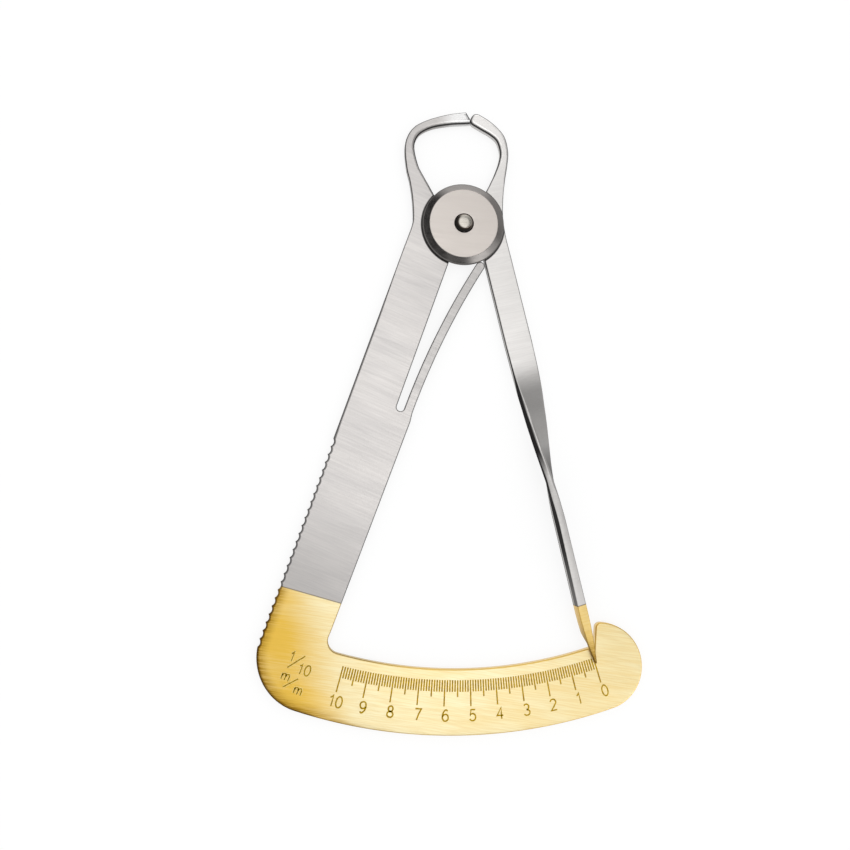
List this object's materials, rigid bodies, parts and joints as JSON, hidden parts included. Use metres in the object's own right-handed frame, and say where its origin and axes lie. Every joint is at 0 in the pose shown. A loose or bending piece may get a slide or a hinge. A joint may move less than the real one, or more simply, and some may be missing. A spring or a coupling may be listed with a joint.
{
  "type": "dental spring caliper",
  "caption": "Small pivoted spring caliper with bowed jaws, a flat sprung handle and a pointer that shows the jaw opening enlarged on an arc scale.",
  "frame": {"origin": "the pivot axis, at the flat back of the arms", "axes": "+Y from the pivot to the closed jaw tips, +Z out of the front face, +X to the right seen from the front"},
  "size_m": [0.0613, 0.1006, 0.0037],
  "materials": {
    "scale_arm": "brushed stainless steel, gold plated from the lower handle to the scale",
    "leaf_spring": "brushed stainless steel",
    "pointer_arm": "brushed stainless steel, gold plated at the nib",
    "pivot_disc": "satin stainless steel with a polished bevel",
    "pivot_rivet": "polished stainless steel"
  },
  "bodies": {
    "scale_body": {"scale_arm": "scale_arm", "pivot_disc": "pivot_disc", "pivot_rivet": "pivot_rivet"},
    "pointer_body": {"pointer_arm": "pointer_arm"},
    "leaf_body": {"leaf_spring": "leaf_spring"}
  },
  "joints": [
    {"name": "jaw_pivot", "type": "hinge", "parent": "scale_body", "child": "pointer_body", "pos_m": [0, 0, 0], "axis": [0, 0, -1], "range_deg": [0, 31.7], "stiffness_Nm_per_rad": 0.05, "springref_deg": -11.46},
    {"name": "leaf_flex", "type": "hinge", "parent": "scale_body", "child": "leaf_body", "pos_m": [-0.00633, -0.02999, 0], "axis": [0, 0, 1], "range_deg": [0, 9]}
  ],
  "couplings": [
    {"joint": "leaf_flex", "follows": "jaw_pivot", "ratio": 0.275}
  ]
}
